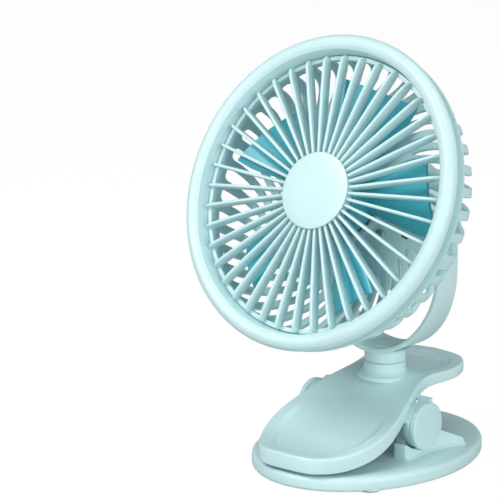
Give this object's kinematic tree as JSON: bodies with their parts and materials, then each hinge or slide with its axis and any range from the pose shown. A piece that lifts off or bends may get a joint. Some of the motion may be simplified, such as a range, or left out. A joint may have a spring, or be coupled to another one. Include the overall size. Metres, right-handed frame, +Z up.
{
  "type": "clip fan",
  "caption": "Small round caged fan on a U-shaped yoke that tilts and swivels on a spring-loaded clip with a broad thumb lever and an oval foot.",
  "frame": {"origin": "centre of the bounding box's bottom face, on the floor under the rubber feet", "axes": "+Z up, -Y towards the fan's face and the clip's mouth, +X to the viewer's right"},
  "size_m": [0.15, 0.137, 0.2072],
  "materials": {
    "mint": "satin moulded ABS, pale mint",
    "mint_dark": "satin moulded ABS, grey mint",
    "teal": "satin moulded plastic, teal",
    "rubber": "matt",
    "pad": "matt, grey",
    "steel": "zinc plated",
    "sleeve": "matt, black",
    "board": "solder mask",
    "cell": "satin foil",
    "lens": "clear, frosted"
  },
  "bodies": {
    "base": {"base_plate": "mint", "rubber_foot_front_left": "rubber", "rubber_foot_front_right": "rubber", "rubber_foot_rear_left": "rubber", "rubber_foot_rear_right": "rubber", "lower_jaw_pad": "pad", "clip_axle": "steel", "spring_sleeve": "sleeve", "torsion_spring": "steel"},
    "lever": {"clip_lever": "mint", "upper_jaw_pad": "pad", "pivot_cap_left": "mint", "pivot_cap_right": "mint", "swivel_washer": "steel"},
    "yoke": {"yoke": "mint", "swivel_bolt": "steel", "swivel_nut": "steel", "yoke_screw_cover": "mint", "tilt_cap_left": "mint", "tilt_cap_right": "mint"},
    "head": {"front_bezel": "mint", "front_grille": "mint", "grille_hub_cap": "mint", "rear_cage": "mint", "motor_pod": "mint", "pod_cover": "mint", "motor": "steel", "battery_cell": "cell", "control_board": "board", "button_switch": "steel", "usb_socket": "steel", "charge_light_lens": "lens", "cover_screw_1": "steel", "cover_screw_2": "steel", "cover_screw_3": "steel", "cover_screw_4": "steel", "cage_screw_1": "steel", "cage_screw_2": "steel", "cage_screw_3": "steel", "tilt_screw_left": "steel", "tilt_screw_right": "steel"},
    "rotor": {"impeller": "teal", "motor_shaft": "steel"},
    "button": {"power_button": "mint_dark"}
  },
  "joints": [
    {"name": "clip_hinge", "type": "hinge", "parent": "base", "child": "lever", "pos_m": [0, 0.00469, 0.0216], "axis": [-1, 0, 0], "range_deg": [0, 24], "stiffness_Nm_per_rad": 1.2, "springref_deg": -28.65, "deforming": ["torsion_spring"]},
    {"name": "swivel", "type": "hinge", "parent": "lever", "child": "yoke", "pos_m": [0, 0.01719, 0.04605], "axis": [0, 0, 1], "continuous": true},
    {"name": "head_tilt", "type": "hinge", "parent": "yoke", "child": "head", "pos_m": [0, 0.01719, 0.1153], "axis": [-1, 0, 0], "range_deg": [-22.5, 157.5]},
    {"name": "fan_spin", "type": "hinge", "parent": "head", "child": "rotor", "pos_m": [0, -0.023, 0.13195], "axis": [0, -0.9239, 0.3827], "continuous": true},
    {"name": "button_press", "type": "slide", "parent": "head", "child": "button", "axis": [0, -0.9239, 0.3827], "range_m": [0, 0.0008], "stiffness_N_per_m": 400, "springref_m": -0.001}
  ]
}
